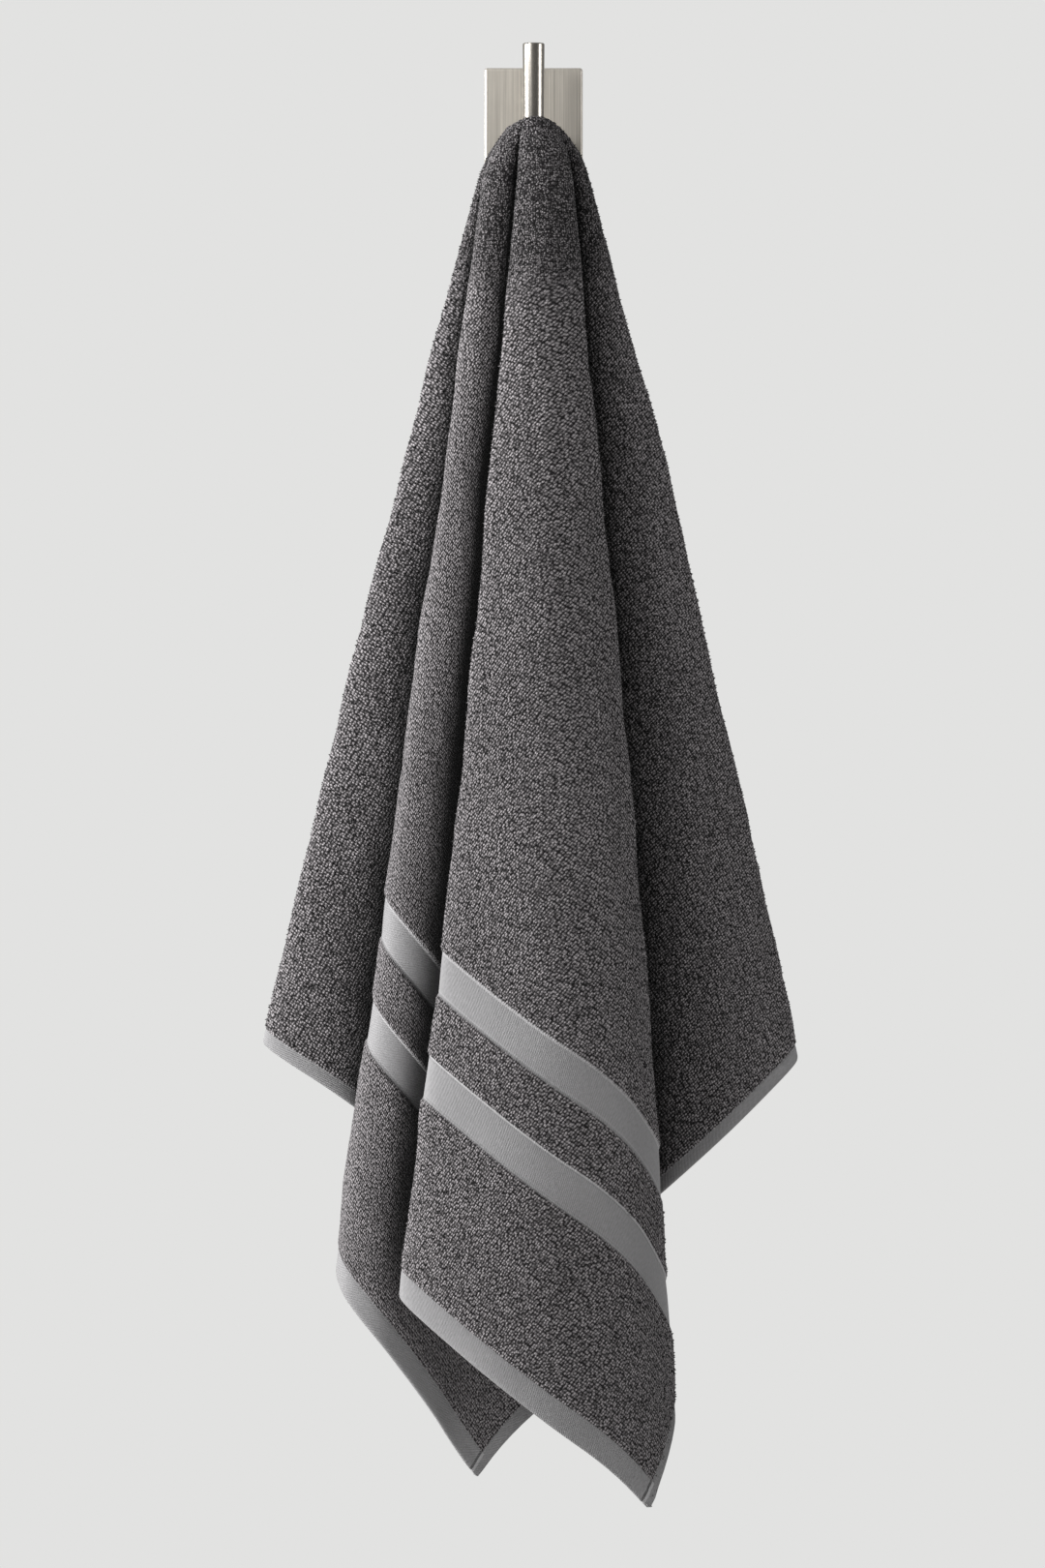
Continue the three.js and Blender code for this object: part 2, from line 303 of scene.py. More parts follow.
def arc_points(chain, at):
    """Points of smooth arcs, one round each control, that touch the middles of the chain's sides."""
    chain = np.asarray(chain, float)
    last = len(chain) - 1
    arc = np.minimum(np.floor(at).astype(int), last - 2)
    t = (at - arc)[:, None]
    a, b, c = chain[arc], chain[arc + 1], chain[arc + 2]
    start = np.where((arc == 0)[:, None], a, (a + b) / 2)
    end = np.where((arc == last - 2)[:, None], c, (b + c) / 2)
    return start * (1 - t) ** 2 + b * 2 * t * (1 - t) + end * t**2


def level_chain(level, z):
    return [(f[level][0], AXIS_Y - f[level][1] + side * f[level][2], z) for f, side in CONTROLS]


def rim_point(degrees, radius, z):
    turn = math.radians(degrees)
    return np.array([RIM_SHIFT + radius * math.cos(turn), AXIS_Y + radius * math.sin(turn), z])


def mix(a, b, share):
    return a + (b - a) * share


def smooth(low, high, x):
    t = np.clip((x - low) / (high - low), 0, 1)
    return t * t * (3 - 2 * t)


def rim_top(turn, top):
    """The rim's own level, lower at the post's two sides."""
    return top - RIM_SAG * math.cos(math.radians(turn)) ** 2 if top == RIM_Z else top


def lip_chain(radius, z, row):
    chain = []
    for fold, side in CONTROLS:
        turn, rim_radius, lip, top = fold["rim"]
        hidden = top + (len(LIP) - row) * HIDDEN_ROW_STEP
        level = mix(hidden, z + rim_top(turn, top) - top, lip)
        chain.append(rim_point(turn + side * RIM_STEP, mix(rim_radius, radius, lip), level))
    return chain


def dome_chain(z, spread):
    share = (z - NECK_Z) / (RIM_Z - NECK_Z)
    chain = []
    for (fold, side), neck in zip(CONTROLS, level_chain("neck", NECK_Z)):
        turn, radius, _, top = fold["rim"]
        point = mix(rim_point(turn + side * RIM_STEP, radius, 0), np.array(neck), spread)
        point[2] = mix(NECK_Z, rim_top(turn, top), share)
        chain.append(point)
    return chain


def flat_chain():
    return [(f["angle"] + side * FOLD_HALF_ANGLE, f["bow"], f["hang"]) for f, side in CONTROLS]


def column_positions(corners):
    """Columns stand closer together where the cloth shows, and one column runs into each lower corner."""
    low = np.array(level_chain("low", LOW_Z))
    flat = np.array(flat_chain())
    at = [0.0]
    for arc in range(len(CONTROLS) - 2):
        inside = np.linspace(arc, arc + 1, 13)
        path = arc_points(low, inside)
        run = np.linalg.norm(np.diff(path, axis=0), axis=1).sum()
        angle = arc_points(flat, np.array([arc + 0.5]))[0, 0]
        shown = any(a <= angle <= b for a, b in SHOWN_ANGLES)
        count = max(6 if shown else 3, round(run / (SHOWN_STEP if shown else HIDDEN_STEP)))
        at += [arc + (k + 1) / count for k in range(count)]
    at = np.array(at)
    angles = arc_points(flat, at)[:, 0]
    for corner in corners:
        found = np.interp(corner, angles, at)
        at[np.argmin(np.abs(at - found))] = found
    return at


def row_distances(longest):
    """Distance of each lower row from the towel's end, from the neck down, with close rows at woven edges."""
    edges = [17, *[edge for band in BANDS for edge in band], 11]
    near = [edge + step for edge in edges for step in (-2.2, -0.8, 0.8, 2.2)] + [0, 0.9, 2.4]
    stretches = ((5, FINE_ROWS_BELOW, BAND_ROW_STEP), (FINE_ROWS_BELOW, longest, PLAIN_ROW_STEP))
    for start, stop, step in stretches:
        for value in np.linspace(start, stop, round((stop - start) / step) + 1):
            if all(abs(value - n) > 0.4 * step for n in near) or value == stop:
                near.append(value)
    return np.array(sorted(set(near), reverse=True), float)


def catmull(rows, at):
    """Rows between the given ones, on smooth curves through them."""
    k = np.clip(np.floor(at).astype(int), 1, len(rows) - 3)
    t = (at - k)[:, None, None]
    a, b, c, d = rows[k - 1], rows[k], rows[k + 1], rows[k + 2]
    return b + 0.5 * t * (c - a + t * (2 * a - 5 * b + 4 * c - d + t * (3 * (b - c) + d - a)))


def soft_wave(u, v, height):
    """Gentle unevenness of hanging cloth: a few long waves of fixed direction and phase."""
    rng = np.random.default_rng(7)
    total = np.zeros_like(u)
    for length in WAVE_LENGTHS:
        turn, phase = rng.uniform(0, math.pi), rng.uniform(0, math.tau)
        along = u * math.cos(turn) + v * math.sin(turn)
        total += 3.5 * length * np.sin(math.tau / length * along + phase)
    return height * total


def opening_distance(x, z):
    """Signed distance to the drop-shaped opening, and its outward direction."""
    h = z - OPENING_Z
    ring = np.hypot(x, h)
    slope = math.hypot(OPENING_RADIUS, OPENING_TAIL)
    n = np.array([OPENING_TAIL / slope, -OPENING_RADIUS / slope])
    low = (np.abs(x) - OPENING_RADIUS) * n[0] + h * n[1]
    distance = np.where(h >= 0, ring - OPENING_RADIUS, low)
    safe = np.maximum(ring, 1e-6)
    out_x = np.where(h >= 0, x / safe, np.sign(x) * n[0])
    out_z = np.where(h >= 0, h / safe, n[1])
    return distance, out_x, out_z


class TowelCloth:
    """Middle surface of the hung towel, with its flat coordinates, in millimetres."""

    def __init__(self, sizes):
        self.half_length = sizes.length / 2 / MM
        self.drop = (sizes.width - sizes.hang_inset) / MM
        corner = math.degrees(math.atan2(self.drop, self.half_length))
        at = column_positions((corner, 180 - corner))
        self.angle, bow, hang = arc_points(flat_chain(), at).T
        turn = np.radians(self.angle)
        cos, sin = np.abs(np.cos(turn)), np.abs(np.sin(turn))
        to_end = self.half_length / np.maximum(cos, 1e-3)
        to_side = self.drop / np.maximum(sin, 1e-3)
        reach = np.minimum(to_end, to_side)
        off_corner = np.minimum(np.abs(self.angle - corner), np.abs(self.angle - 180 + corner))
        reach = reach - CORNER_CUT * np.exp(-((off_corner / CORNER_SPREAD) ** 2))

        neck = arc_points(level_chain("neck", NECK_Z), at)
        fall = arc_points(level_chain("low", LOW_Z), at) - neck
        fall /= np.linalg.norm(fall, axis=1)[:, None]
        near = np.linalg.norm(neck - APEX, axis=1)
        run = reach * hang - near

        # Rows keep to lines of equal distance from the end, and crowd together where those meet the long side
        rows = row_distances(self.half_length - LAST_ROW_RADIUS)[:, None]
        stretch = np.clip((rows - FINE_ROWS_BELOW) / (rows[0] - FINE_ROWS_BELOW), 0, 1)
        moved = rows + FAR_BAND_SHIFT * smooth(*SHIFT_GROWS, rows) * (1 - smooth(*SHIFT_FADES, rows))
        rows = mix(rows, moved, smooth(*SHIFT_ANGLES, self.angle))
        folded = np.minimum(self.angle, 180 - self.angle)
        spread = mix(CROWDED_SHARE, 1, smooth(corner, corner + CROWDED_DEGREES, folded))
        level = 1 - rows / self.half_length
        from_edge = np.maximum(reach - level * to_end, rows * spread * reach / self.half_length)
        from_edge = np.where(to_end <= to_side, rows * reach / self.half_length, from_edge)
        from_edge = from_edge + (reach - near - from_edge[0]) * stretch
        share = 1 - from_edge / (reach - near)
        skirt = neck + fall * (run * share)[:, :, None]
        skirt[:, :, 0] += bow * 4 * share * (1 - share)

        upper = [lip_chain(radius, z, row) for row, (radius, z) in enumerate(LIP)]
        upper += [dome_chain(z, spread_share) for z, spread_share in DOME]
        upper = np.array([arc_points(chain, at) for chain in upper])
        levels = len(upper)
        coarse = np.concatenate([upper[:1] * 2 - upper[1:2], upper, skirt[:2]])
        fine = 1 + np.arange(0, levels * TOP_ROWS_PER_LEVEL) / TOP_ROWS_PER_LEVEL
        dome = catmull(coarse, fine)
        self.points = np.concatenate([dome, skirt]) + (0, 0, HANG_Z)

        radius = np.concatenate([np.linalg.norm(dome - APEX, axis=2), reach - from_edge])
        self.u = radius * np.cos(turn)
        self.v = radius * np.sin(turn)
        self.radius = radius

    def normals(self):
        across = np.gradient(self.points, axis=1)
        down = np.gradient(self.points, axis=0)
        n = np.cross(across, down)
        return n / np.maximum(np.linalg.norm(n, axis=2), 1e-9)[:, :, None]

    def half_thickness(self):
        from_end = self.half_length - np.abs(self.u)
        from_side = self.drop - self.v
        by_end = np.interp(from_end, *zip(*END_THICKNESS))
        by_band = np.interp(from_end - FAR_BAND_SHIFT * (self.u < 0), *zip(*BAND_THICKNESS))
        by_side = np.interp(from_side, *zip(*SIDE_THICKNESS))
        near_end = from_end < END_THICKNESS[-1][0]
        layer = CORNER_LAYER * (1 - smooth(8.5, 9.8, from_side)) * (1 - smooth(15.5, 17, from_end))
        return np.minimum(np.where(near_end, by_end, by_band), by_side) + layer


def cloth_mesh(name, cloth, wave):
    """Closed sheet of the cloth's own thickness, open for the stem. Its UV map is the flat towel."""
    normal = cloth.normals()
    lift = soft_wave(cloth.u * MM, cloth.v * MM, wave / MM) * smooth(*WAVE_STARTS, cloth.radius)
    rng = np.random.default_rng(11)
    uneven = rng.uniform(-PILE_UNEVENNESS, PILE_UNEVENNESS, cloth.u.shape)
    middle = cloth.points + normal * lift[:, :, None]
    half = cloth.half_thickness()
    half = half + uneven * (half > PILE_HALF)

    rows, columns = cloth.u.shape
    centre = (middle[:-1, :-1] + middle[1:, :-1] + middle[:-1, 1:] + middle[1:, 1:]) / 4
    inside = opening_distance(centre[..., 0], centre[..., 2])[0] < 0
    hole = inside & (centre[..., 1] > AXIS_Y)
    touched = np.zeros((rows, columns), int)
    for dr in (0, 1):
        for dc in (0, 1):
            touched[dr : rows - 1 + dr, dc : columns - 1 + dc] += hole
    rim = (touched > 0) & (touched < 4)
    distance, out_x, out_z = opening_distance(middle[..., 0], middle[..., 2])
    middle[..., 0] = np.where(rim, middle[..., 0] - distance * out_x, middle[..., 0])
    middle[..., 2] = np.where(rim, middle[..., 2] - distance * out_z, middle[..., 2])

    index = np.arange(rows * columns).reshape(rows, columns)
    back = index + rows * columns
    kept = ~hole
    a, b, c, d = index[:-1, :-1], index[:-1, 1:], index[1:, 1:], index[1:, :-1]
    faces = np.stack([a, b, c, d], axis=-1)[kept]
    behind = np.stack([a, d, c, b], axis=-1)[kept] + rows * columns
    # A wall closes each side of a kept cell that has no kept neighbour
    padded = np.pad(kept, 1)
    walls = []
    for (dr, dc), (p, q) in (((-1, 0), (a, b)), ((1, 0), (c, d)), ((0, -1), (d, a)), ((0, 1), (b, c))):
        open_side = kept & ~padded[1 + dr : rows + dr, 1 + dc : columns + dc]
        p, q = p[open_side], q[open_side]
        walls.append(np.stack([q, p, p + rows * columns, q + rows * columns], axis=-1))
    quads = np.concatenate([faces, behind, *walls])

    places = np.concatenate([(middle + normal * half[:, :, None]).reshape(-1, 3),
                             (middle - normal * half[:, :, None]).reshape(-1, 3)]) * MM
    mesh = bpy.data.meshes.new(name)
    mesh.from_pydata(places.tolist(), [], quads.tolist())
    mesh.update()
    flat = np.stack([cloth.u.ravel(), cloth.v.ravel()], axis=-1) * MM
    flat = np.concatenate([flat, flat])
    layer = mesh.uv_layers.new(name="flat")
    corners = np.zeros(len(mesh.loops), int)
    mesh.loops.foreach_get("vertex_index", corners)
    layer.data.foreach_set("uv", flat[corners].ravel())
    return mesh


def pile_mesh(name, cloth, wave):
    """Tufts of pile on the outer face of the folds that show: small three-sided points in jittered places."""
    rng = np.random.default_rng(5)
    outward = -cloth.normals()
    lift = soft_wave(cloth.u * MM, cloth.v * MM, wave / MM) * smooth(*WAVE_STARTS, cloth.radius)
    outer = cloth.points + outward * (cloth.half_thickness() - lift)[:, :, None]
    a, b, c, d = outer[:-1, :-1], outer[:-1, 1:], outer[1:, 1:], outer[1:, :-1]
    area = np.linalg.norm(np.cross(c - a, d - b), axis=2) / 2
    angle = (cloth.angle[:-1] + cloth.angle[1:]) / 2
    shown = np.zeros_like(angle, bool)
    for low, high in TUFTED_ANGLES:
        shown |= (angle > low) & (angle < high)
    terry = cloth.half_thickness()[:-1, :-1] > 2.1
    by_opening = (opening_distance(a[..., 0], a[..., 2])[0] < TUFT_CLEARANCE) & (a[..., 1] > AXIS_Y)
    wanted = area / TUFT_SPACING**2 * (shown[None, :] & terry & ~by_opening)
    wanted[: 2 * TOP_ROWS_PER_LEVEL] = 0
    count = np.floor(wanted + rng.uniform(0, 1, wanted.shape)).astype(int).ravel()
    cell = np.repeat(np.arange(count.size), count)
    s, t = rng.uniform(0, 1, (2, cell.size, 1))

    def spread(grid):
        """Values of the grid at each tuft's place within its cell."""
        around = (grid[:-1, :-1], grid[:-1, 1:], grid[1:, 1:], grid[1:, :-1])
        corners = [part.reshape(count.size, -1)[cell] for part in around]
        return mix(mix(corners[0], corners[1], s), mix(corners[3], corners[2], s), t)

    foot, up = spread(outer), spread(outward)
    flat = spread(np.stack([cloth.u, cloth.v], axis=-1)) * MM
    side = np.cross(up, (0.0, 0.0, 1.0))
    side /= np.maximum(np.linalg.norm(side, axis=1), 1e-6)[:, None]
    other = np.cross(up, side)
    turn = rng.uniform(0, math.tau, (cell.size, 1))
    wide = TUFT_RADIUS * rng.uniform(0.7, 1.2, (cell.size, 1))
    ring = []
    for third in range(3):
        way = turn + third * math.tau / 3
        ring.append(foot - up * TUFT_ROOT + (side * np.cos(way) + other * np.sin(way)) * wide)
    lean = side * rng.uniform(-0.5, 0.5, (cell.size, 1)) + other * rng.uniform(-0.5, 0.5, (cell.size, 1))
    tip = foot + up * TUFT_HEIGHT * rng.uniform(0.4, 1.0, (cell.size, 1)) + lean
    places = np.stack([*ring, tip], axis=1).reshape(-1, 3) * MM
    first = np.arange(cell.size)[:, None] * 4
    faces = np.concatenate([first + np.array([[k, (k + 1) % 3, 3]]) for k in range(3)])
    mesh = bpy.data.meshes.new(name)
    mesh.from_pydata(places.tolist(), [], faces.tolist())
    mesh.update()
    layer = mesh.uv_layers.new(name="flat")
    loops = np.zeros(len(mesh.loops), int)
    mesh.loops.foreach_get("vertex_index", loops)
    layer.data.foreach_set("uv", np.repeat(flat, 4, axis=0)[loops].ravel())
    return mesh


# Materials


def add_node(tree, kind, inputs=None, **settings):
    """Adds a node, sets its settings, and links or sets its inputs."""
    node = tree.nodes.new("ShaderNode" + kind)
    for name, value in settings.items():
        setattr(node, name, value)
    for name, value in (inputs or {}).items():
        if isinstance(value, bpy.types.NodeSocket):
            tree.links.new(value, node.inputs[name])
        else:
            node.inputs[name].default_value = value
    return node


def set_stops(ramp, stops, interpolation="LINEAR"):
    """Gives a colour ramp its stops: place and grey value or colour."""
    ramp.color_ramp.interpolation = interpolation
    elements = ramp.color_ramp.elements
    while len(elements) < len(stops):
        elements.new(0.5)
    for element, (place, value) in zip(elements, stops):
        element.position = place
        element.color = (*value, 1) if isinstance(value, tuple) else (value, value, value, 1)


def new_material(name):
    material = bpy.data.materials.new(name)
    material.use_nodes = True
    tree = material.node_tree
    tree.nodes.clear()
    output = tree.nodes.new("ShaderNodeOutputMaterial")
    return material, tree, output


def cotton_material(sizes):
    """Dyed cotton: looped terry pile, with flat woven bands and turned hems. Loops scatter light softly;
    painted shade darkens the pits between them and the bottoms of deep folds, while the woven parts are
    smoother and look lighter."""
    material, tree, output = new_material("cotton_terry_looped")
    flat = add_node(tree, "UVMap", uv_map="flat").outputs["UV"]
    place = add_node(tree, "SeparateXYZ", {0: flat})
    along = add_node(tree, "Math", {0: place.outputs["X"]}, operation="ABSOLUTE").outputs[0]
    reach = 0.25
    from_end = add_node(tree, "Math", {0: sizes.length / 2, 1: along}, operation="SUBTRACT").outputs[0]
    from_side = add_node(
        tree, "Math", {0: sizes.width - sizes.hang_inset, 1: place.outputs["Y"]}, operation="SUBTRACT"
    ).outputs[0]

    far = add_node(tree, "Math", {0: place.outputs["X"], 1: 0.0}, operation="LESS_THAN").outputs[0]
    from_band = add_node(
        tree, "Math", {0: far, 1: -FAR_BAND_SHIFT * MM, 2: from_end}, operation="MULTIPLY_ADD"
    ).outputs[0]
    band_share = add_node(tree, "Math", {0: from_band, 1: reach}, operation="DIVIDE").outputs[0]

    # Woven parts, 1, and terry, 0: two bands, the hem of the end and the narrow hem of the long side
    soft = 0.4
    stops = [(0, 0)]
    for low, high in BANDS:
        stops += [(low - soft, 0), (low + soft, 1), (high - soft, 1), (high + soft, 0)]
    bands = add_node(tree, "ValToRGB", {"Fac": band_share})
    set_stops(bands, [(at * MM / reach, value) for at, value in stops])
    end_hem = add_node(
        tree, "MapRange",
        {"Value": from_end, "From Min": sizes.end_hem + soft * MM, "From Max": sizes.end_hem - soft * MM},
    ).outputs["Result"]
    side_hem = add_node(
        tree, "MapRange",
        {"Value": from_side, "From Min": sizes.side_hem + soft * MM, "From Max": sizes.side_hem - soft * MM},
    ).outputs["Result"]
    hems = add_node(tree, "Math", {0: end_hem, 1: side_hem}, operation="MAXIMUM").outputs[0]
    woven = add_node(tree, "Math", {0: bands.outputs["Color"], 1: hems}, operation="MAXIMUM").outputs[0]

    # A raised light cord along a band's upper edge, and two fine lines along its lower edge, with a painted
    # shadow line where the terry meets that lower edge
    cord_and_shadow_stops = [(0, 0.5)]
    for low, high in BANDS:
        cord_and_shadow_stops += [(low + at, value) for at, value in (
            (-0.4, 0.1), (0.5, 0.3), (1.2, 0.62), (1.9, 0.36), (2.6, 0.62), (3.4, 0.5),
        )]
        cord_and_shadow_stops += [(high + at, value) for at, value in (
            (-1.9, 0.5), (-1.3, 0.42), (-0.6, 0.95), (0.5, 0.9), (1.0, 0.5),
        )]
    lines = add_node(tree, "ValToRGB", {"Fac": band_share})
    set_stops(lines, [(at * MM / reach, value) for at, value in cord_and_shadow_stops])

    # Where both hems meet at a corner they are sewn together: a seam line across the end hem
    seam = add_node(
        tree, "Math", {0: from_side, 1: sizes.side_hem + 0.0011, 2: 0.0011}, operation="COMPARE"
    ).outputs[0]
    seam = add_node(tree, "Math", {0: seam, 1: end_hem}, operation="MULTIPLY").outputs[0]
    seam_light = add_node(
        tree, "Math", {0: from_side, 1: sizes.side_hem - 0.0012, 2: 0.0012}, operation="COMPARE"
    ).outputs[0]
    seam_light = add_node(tree, "Math", {0: seam_light, 1: end_hem}, operation="MULTIPLY").outputs[0]

    # Loops of pile stand in rows along the towel's length. Near the gathered top they follow the solid cloth
    solid = add_node(tree, "TexCoord").outputs["Object"]
    loops = add_node(
        tree, "Mapping", {"Vector": flat, "Scale": (0.85 / sizes.loop_spacing, 1 / sizes.loop_spacing, 1)}
    ).outputs[0]
    cells = add_node(
        tree, "TexVoronoi", {"Vector": loops, "Scale": 1.0, "Randomness": 0.5},
        voronoi_dimensions="2D", feature="F1",
    )
    top_cells = add_node(
        tree, "TexVoronoi", {"Vector": solid, "Scale": 1.25 / sizes.loop_spacing, "Randomness": 0.8},
        voronoi_dimensions="3D", feature="F1",
    )
    from_top = add_node(tree, "VectorMath", {0: flat}, operation="LENGTH").outputs["Value"]
    lower = add_node(
        tree, "MapRange", {"Value": from_top, "From Min": 0.09, "From Max": 0.14},
        interpolation_type="SMOOTHSTEP",
    ).outputs["Result"]
    distance = add_node(
        tree, "Mix", {0: lower, 2: top_cells.outputs["Distance"], 3: cells.outputs["Distance"]},
        data_type="FLOAT",
    ).outputs[0]
    loop_height = add_node(
        tree, "MapRange", {"Value": distance, "From Min": 0.1, "From Max": 0.62, "To Min": 1.0, "To Max": 0.0}
    ).outputs["Result"]
    tint = add_node(tree, "SeparateColor", {0: cells.outputs["Color"]}).outputs[0]
    # Pile lies in clumps that run down the cloth
    combed = add_node(tree, "Mapping", {"Vector": solid, "Scale": (170, 170, 60)}).outputs[0]
    clumps = add_node(
        tree, "TexNoise", {"Vector": combed, "Scale": 1.0, "Detail": 3.0, "Roughness": 0.6}
    ).outputs["Fac"]
    fuzz = add_node(tree, "TexNoise", {"Vector": solid, "Scale": 1500.0, "Detail": 2.0}).outputs["Fac"]
    # Single yarns stand out lighter or darker, as short streaks along the rows
    yarn_place = add_node(tree, "Mapping", {"Vector": flat, "Scale": (300, 900, 1)}).outputs[0]
    yarns = add_node(
        tree, "TexNoise", {"Vector": yarn_place, "Scale": 1.0, "Detail": 1.5, "Roughness": 0.6},
        noise_dimensions="2D",
    ).outputs["Fac"]
    solid_yarns = add_node(tree, "TexNoise", {"Vector": solid, "Scale": 950.0, "Detail": 1.5}).outputs["Fac"]
    yarns = add_node(tree, "Mix", {0: lower, 2: solid_yarns, 3: yarns}, data_type="FLOAT").outputs[0]
    broad = add_node(tree, "TexNoise", {"Vector": solid, "Scale": 9.0, "Detail": 2.0}).outputs["Fac"]

    tip = add_node(tree, "MapRange", {"Value": tint, "To Min": 0.7, "To Max": 1.2}).outputs["Result"]
    lit = add_node(tree, "Math", {0: loop_height, 1: 1.35}, operation="POWER").outputs[0]
    lit = add_node(tree, "Math", {0: tip, 1: lit}, operation="MULTIPLY").outputs[0]
    yarn_shade = add_node(
        tree, "MapRange", {"Value": yarns, "From Min": 0.36, "From Max": 0.64, "To Min": 0.38, "To Max": 1.62}
    ).outputs["Result"]
    lit = add_node(tree, "Math", {0: yarn_shade, 1: lit}, operation="MULTIPLY").outputs[0]
    clump_shade = add_node(
        tree, "MapRange", {"Value": clumps, "From Min": 0.38, "From Max": 0.6, "To Min": 0.92, "To Max": 1.08}
    ).outputs["Result"]
    lit = add_node(tree, "Math", {0: lit, 1: clump_shade}, operation="MULTIPLY", use_clamp=True).outputs[0]
    # Painted shade: the colour runs from the painted pit shade between the loops to the terry colour on the
    # loop tops
    terry = add_node(
        tree, "Mix",
        {0: lit, 6: (*sizes.painted_pit_shade, 1), 7: (*sizes.terry_colour, 1)},
        data_type="RGBA",
    ).outputs[2]

    # Fine twill of the woven parts, drawn at 1.1 mm so that it shows
    twill = add_node(
        tree, "Mapping", {"Vector": flat, "Rotation": (0, 0, math.radians(38)), "Scale": (900, 900, 1)}
    )
    ribs = add_node(
        tree, "TexWave", {"Vector": twill.outputs[0], "Scale": 0.318, "Distortion": 1.2, "Detail": 2.0},
        wave_type="BANDS", bands_direction="X",
    ).outputs["Fac"]
    thread = add_node(tree, "Math", {0: ribs, 1: yarns}, operation="ADD").outputs[0]
    woven_lit = add_node(
        tree, "MapRange", {"Value": thread, "From Min": 0.4, "From Max": 1.6, "To Min": -0.15, "To Max": 0.35}
    ).outputs["Result"]
    woven_lit = add_node(
        tree, "Math", {0: lines.outputs["Color"], 1: 1.8, 2: woven_lit}, operation="MULTIPLY_ADD"
    ).outputs[0]
    woven_lit = add_node(tree, "Math", {0: seam, 1: -0.55, 2: woven_lit}, operation="MULTIPLY_ADD").outputs[0]
    woven_lit = add_node(
        tree, "Math", {0: seam_light, 1: 0.6, 2: woven_lit}, operation="MULTIPLY_ADD"
    ).outputs[0]
    woven_colour = add_node(
        tree, "VectorMath", {0: tuple(sizes.woven_colour), "Scale": woven_lit}, operation="SCALE"
    ).outputs[0]
    # Painted shade: the ambient occlusion node darkens the colour at the bottom of deep folds, where shade
    # falls
    openness = add_node(tree, "AmbientOcclusion", {"Distance": 0.07}, samples=8).outputs["AO"]
    painted_fold_shade = add_node(
        tree, "MapRange",
        {"Value": openness, "From Min": 0.55, "From Max": 0.82, "To Min": 0.03, "To Max": 1.0},
    ).outputs["Result"]
    # The painted fold shade is weaker on the flat weave than on the pile
    lighter = add_node(tree, "Math", {0: painted_fold_shade, 1: 0.5}, operation="POWER").outputs[0]
    painted_fold_shade = add_node(tree, "Mix", {0: woven, 2: painted_fold_shade, 3: lighter}, data_type="FLOAT").outputs[0]
    broad_shade = add_node(
        tree, "MapRange", {"Value": broad, "From Min": 0.3, "From Max": 0.7, "To Min": 0.92, "To Max": 1.06}
    ).outputs["Result"]
    # The painted fold shade and a broad random tone variation scale the colour together
    shade = add_node(tree, "Math", {0: painted_fold_shade, 1: broad_shade}, operation="MULTIPLY").outputs[0]
    colour = add_node(tree, "Mix", {0: woven, 6: terry, 7: woven_colour}, data_type="RGBA").outputs[2]
    colour = add_node(tree, "VectorMath", {0: colour, "Scale": shade}, operation="SCALE").outputs[0]

    height = add_node(tree, "Math", {0: clumps, 1: 0.4, 2: loop_height}, operation="MULTIPLY_ADD").outputs[0]
    height = add_node(tree, "Math", {0: fuzz, 1: 0.25, 2: height}, operation="MULTIPLY_ADD").outputs[0]
    woven_height = add_node(
        tree, "Math", {0: thread, 1: 0.16, 2: lines.outputs["Color"]}, operation="MULTIPLY_ADD"
    ).outputs[0]
    relief = add_node(tree, "Mix", {0: woven, 2: height, 3: woven_height}, data_type="FLOAT").outputs[0]
    bump = add_node(tree, "Bump", {"Height": relief, "Strength": 0.9, "Distance": 0.0011})
    roughness = add_node(tree, "MapRange", {"Value": woven, "To Min": 0.97, "To Max": 0.8}).outputs["Result"]
    shader = add_node(
        tree, "BsdfPrincipled",
        {"Base Color": colour, "Roughness": roughness, "Normal": bump.outputs[0], "IOR": 1.45,
         "Specular IOR Level": 0.25, "Sheen Weight": 0.12, "Sheen Roughness": 0.5},
    )
    tree.links.new(shader.outputs[0], output.inputs["Surface"])
    return material


def steel_material(name, colour, grain_scale, grain, roughness, metallic):
    """Stainless steel brushed in one direction: fine scratches stretch the highlights along the grain."""
    material, tree, output = new_material(name)
    solid = add_node(tree, "TexCoord").outputs["Object"]
    stretched = add_node(tree, "Mapping", {"Vector": solid, "Scale": grain_scale}).outputs[0]
    scratch = add_node(
        tree, "TexNoise", {"Vector": stretched, "Scale": 1.0, "Detail": 5.0, "Roughness": 0.7}
    ).outputs["Fac"]
    cloud = add_node(tree, "TexNoise", {"Vector": solid, "Scale": 45.0, "Detail": 2.0}).outputs["Fac"]
    shade = add_node(
        tree, "MapRange",
        {"Value": scratch, "From Min": 0.3, "From Max": 0.7, "To Min": 1 - grain, "To Max": 1 + 0.5 * grain},
    ).outputs["Result"]
    shade = add_node(tree, "Math", {0: cloud, 1: 0.12, 2: shade}, operation="MULTIPLY_ADD").outputs[0]
    tinted = add_node(tree, "VectorMath", {0: tuple(colour), "Scale": shade}, operation="SCALE").outputs[0]
    rough = add_node(
        tree, "MapRange",
        {"Value": scratch, "From Min": 0.3, "From Max": 0.7,
         "To Min": roughness - 0.3 * grain, "To Max": roughness + 0.3 * grain},
    ).outputs["Result"]
    bump = add_node(tree, "Bump", {"Height": scratch, "Strength": grain, "Distance": 0.00008})
    shader = add_node(
        tree, "BsdfPrincipled",
        {"Base Color": tinted, "Metallic": metallic, "Roughness": rough, "Normal": bump.outputs[0]},
    )
    tree.links.new(shader.outputs[0], output.inputs["Surface"])
    return material


# Modelling helpers


def select_only(piece):
    for other in bpy.context.scene.objects:
        other.select_set(False)
    piece.select_set(True)
    bpy.context.view_layer.objects.active = piece


